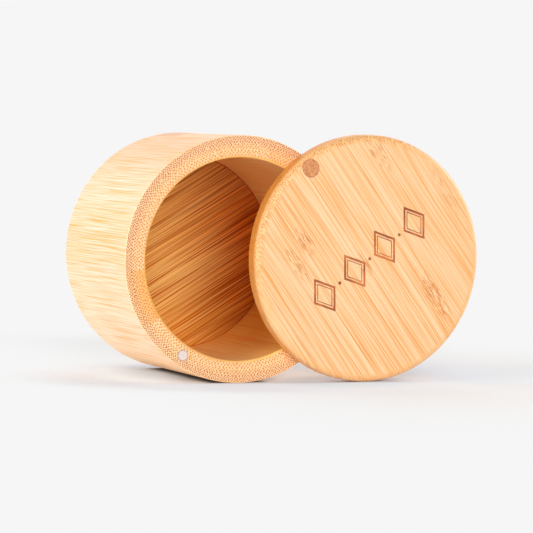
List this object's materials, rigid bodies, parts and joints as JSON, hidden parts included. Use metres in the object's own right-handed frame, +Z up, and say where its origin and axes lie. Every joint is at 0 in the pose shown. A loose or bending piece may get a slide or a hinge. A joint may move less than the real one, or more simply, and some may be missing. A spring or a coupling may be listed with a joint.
{
  "type": "salt box",
  "caption": "Round salt box of bamboo staves with a laminated base and a flat laminated lid that swivels on a hidden screw and is held shut by small magnets.",
  "frame": {"origin": "on the floor, under the middle of the bounding box, with the box lying on its side and the lid swung open", "axes": "+Y along the box's own axis and out of its base, the mouth and the lid face -Y, the open lid is towards +X, +Z is up; to stand the box on its base turn it so that +Y points down"},
  "size_m": [0.137, 0.069, 0.0898],
  "materials": {
    "stave_bamboo": "turned and fine sanded, matt oil",
    "base_laminate": "sanded, matt oil",
    "lid_laminate": "fine sanded, satin oil, scorched engraving",
    "plug_end_grain": "sanded flush end grain",
    "screw_steel": "zinc plated",
    "spacer_nylon": "natural nylon",
    "magnet_plating": "nickel plated"
  },
  "bodies": {
    "box": {"wall_stave_1": "stave_bamboo", "wall_stave_2": "stave_bamboo", "wall_stave_3": "stave_bamboo", "wall_stave_4": "stave_bamboo", "wall_stave_5": "stave_bamboo", "wall_stave_6": "stave_bamboo", "wall_stave_7": "stave_bamboo", "wall_stave_8": "stave_bamboo", "wall_stave_9": "stave_bamboo", "wall_stave_10": "stave_bamboo", "wall_stave_11": "stave_bamboo", "wall_stave_12": "stave_bamboo", "wall_stave_13": "stave_bamboo", "base_board": "base_laminate", "pivot_screw": "screw_steel", "screw_washer": "screw_steel", "lid_spacer": "spacer_nylon", "rim_magnet": "magnet_plating"},
    "lid": {"lid": "lid_laminate", "pivot_plug": "plug_end_grain", "lid_magnet": "magnet_plating"}
  },
  "joints": [
    {"name": "lid_swivel", "type": "hinge", "parent": "box", "child": "lid", "pos_m": [-0.00053, -0.02707, 0.07746], "axis": [0, -1, 0], "range_deg": [-72, 108]}
  ]
}
